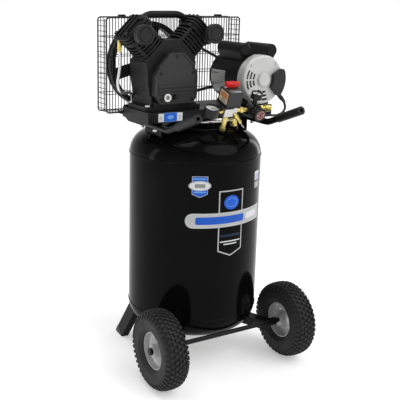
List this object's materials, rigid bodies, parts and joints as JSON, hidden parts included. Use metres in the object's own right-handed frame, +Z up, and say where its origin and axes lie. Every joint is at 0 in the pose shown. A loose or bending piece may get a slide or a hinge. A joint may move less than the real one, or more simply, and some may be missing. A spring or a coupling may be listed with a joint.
{
  "type": "vertical tank compressor",
  "caption": "Vertical steel air tank on wheels and fixed legs carrying a belt-driven V pump with fan flywheel, motor, wire guard, pressure switch, regulator and two push handles.",
  "frame": {"origin": "on the floor, at the centre of the object's footprint box", "axes": "+Z up, -Y towards the wheels and handles, +X towards the motor"},
  "size_m": [0.6028, 0.5872, 1.2087],
  "materials": {
    "black_gloss_paint": "gloss black powder coat",
    "black_satin_paint": "satin black powder coat",
    "cast_black": "painted cast iron, satin",
    "tyre_rubber": "matt rubber",
    "rim_grey": "silver grey enamel",
    "zinc_steel": "zinc plated",
    "bright_aluminium": "drawn",
    "motor_bell_aluminium": "cast",
    "brass": "turned",
    "black_plastic": "moulded, fine grain",
    "red_plastic": "moulded",
    "grip_rubber": "soft moulded",
    "black_rubber": "moulded",
    "guard_wire": "black coated wire",
    "clear_lens": "clear",
    "steel_inner": "machined",
    "piston_aluminium": "machined",
    "copper_stack": "laminated"
  },
  "bodies": {
    "frame": {"axle": "black_satin_paint", "axle_arms": "black_satin_paint", "brass_fittings": "brass", "capacitor_covers": "black_satin_paint", "crankcase": "cast_black", "crankcase_cover": "cast_black", "crossover_tube": "black_satin_paint", "discharge_tube": "bright_aluminium", "gauge_cases": "black_plastic", "gauge_lenses": "clear_lens", "guard_back": "guard_wire", "guard_fittings": "black_satin_paint", "guard_front": "guard_wire", "handle_grips": "grip_rubber", "handle_tubes": "black_satin_paint", "intake_filters": "black_plastic", "left_cylinder": "cast_black", "left_cylinder_head": "cast_black", "manifold_block": "zinc_steel", "motor_base": "black_satin_paint", "motor_front_bell": "motor_bell_aluminium", "motor_lead": "black_rubber", "motor_shell": "black_satin_paint", "platform_bolts": "zinc_steel", "pressure_switch_base": "black_plastic", "pressure_switch_cover": "black_plastic", "pump_screws": "zinc_steel", "rear_foot_pads": "black_rubber", "regulator_body": "black_plastic", "right_cylinder": "cast_black", "right_cylinder_head": "cast_black", "shaft_bearings": "steel_inner", "sight_glass": "bright_aluminium", "stator": "copper_stack", "tank_brackets": "black_gloss_paint", "tank_heads": "black_gloss_paint", "tank_ports": "black_gloss_paint", "tank_shell": "black_gloss_paint", "terminal_cover": "black_plastic", "top_platform": "black_satin_paint", "v_belt": "black_rubber"},
    "left_wheel": {"left_tyre": "tyre_rubber", "left_rim": "rim_grey"},
    "right_wheel": {"right_tyre": "tyre_rubber", "right_rim": "rim_grey"},
    "crank": {"crankshaft": "steel_inner", "flywheel": "cast_black"},
    "motor_rotor": {"rotor": "steel_inner", "motor_pulley": "black_satin_paint"},
    "left_piston": {"left_piston": "piston_aluminium"},
    "right_piston": {"right_piston": "piston_aluminium"},
    "left_rod": {"left_connecting_rod": "steel_inner"},
    "right_rod": {"right_connecting_rod": "steel_inner"},
    "drain_knob": {"drain_valve_knob": "brass"},
    "safety_ring": {"safety_pull_ring": "zinc_steel"},
    "tank_needle": {"tank_gauge_needle": "steel_inner"},
    "outlet_needle": {"outlet_gauge_needle": "steel_inner"},
    "lever": {"switch_lever": "red_plastic"},
    "regulator_knob": {"regulator_knob": "black_plastic"},
    "sleeve": {"coupler_sleeve": "brass"}
  },
  "joints": [
    {"name": "left_wheel_spin", "type": "hinge", "parent": "frame", "child": "left_wheel", "pos_m": [-0.258, -0.1606, 0.133], "axis": [1, 0, 0], "continuous": true},
    {"name": "right_wheel_spin", "type": "hinge", "parent": "frame", "child": "right_wheel", "pos_m": [0.258, -0.1606, 0.133], "axis": [1, 0, 0], "continuous": true},
    {"name": "flywheel_turn", "type": "hinge", "parent": "frame", "child": "crank", "pos_m": [-0.13, 0.1334, 1.023], "axis": [0, 1, 0], "continuous": true},
    {"name": "motor_turn", "type": "hinge", "parent": "frame", "child": "motor_rotor", "pos_m": [0.188, 0.0634, 0.98], "axis": [0, 1, 0], "continuous": true},
    {"name": "left_piston_slide", "type": "slide", "parent": "frame", "child": "left_piston", "axis": [-0.7071, 0, 0.7071], "range_m": [-0.02, 0.02]},
    {"name": "right_piston_slide", "type": "slide", "parent": "frame", "child": "right_piston", "axis": [0.7071, 0, 0.7071], "range_m": [-0.02, 0.02]},
    {"name": "left_rod_swing", "type": "hinge", "parent": "left_piston", "child": "left_rod", "pos_m": [-0.20354, 0.0494, 1.09654], "axis": [0, 1, 0], "range_deg": [-12, 12]},
    {"name": "right_rod_swing", "type": "hinge", "parent": "right_piston", "child": "right_rod", "pos_m": [-0.05646, 0.0674, 1.09654], "axis": [0, 1, 0], "range_deg": [-12, 12]},
    {"name": "drain_knob_turn", "type": "hinge", "parent": "frame", "child": "drain_knob", "pos_m": [0, 0.0434, 0.05973], "axis": [0, -1, 0], "range_deg": [0, 180]},
    {"name": "safety_ring_pull", "type": "slide", "parent": "frame", "child": "safety_ring", "axis": [0.5209, -0.2343, -0.8208], "range_m": [0, 0.003]},
    {"name": "tank_needle_turn", "type": "hinge", "parent": "frame", "child": "tank_needle", "pos_m": [-0.049, -0.10738, 0.90211], "axis": [0, 0.342, -0.9397], "range_deg": [-15, 255]},
    {"name": "outlet_needle_turn", "type": "hinge", "parent": "frame", "child": "outlet_needle", "pos_m": [0.117, -0.12175, 0.94158], "axis": [0, 0.342, -0.9397], "range_deg": [-75, 195]},
    {"name": "switch_lever_turn", "type": "hinge", "parent": "frame", "child": "lever", "pos_m": [0.016, -0.11253, 0.97473], "axis": [0, -0.342, 0.9397], "range_deg": [-40, 0]},
    {"name": "regulator_knob_turn", "type": "hinge", "parent": "frame", "child": "regulator_knob", "pos_m": [0.117, -0.13147, 0.88057], "axis": [0, -0.9397, -0.342], "range_deg": [-720, 720]},
    {"name": "coupler_sleeve_slide", "type": "slide", "parent": "frame", "child": "sleeve", "axis": [-1, 0, 0], "range_m": [0, 0.005]}
  ],
  "couplings": [
    {"joint": "motor_turn", "follows": "flywheel_turn", "ratio": 3.3902}
  ]
}
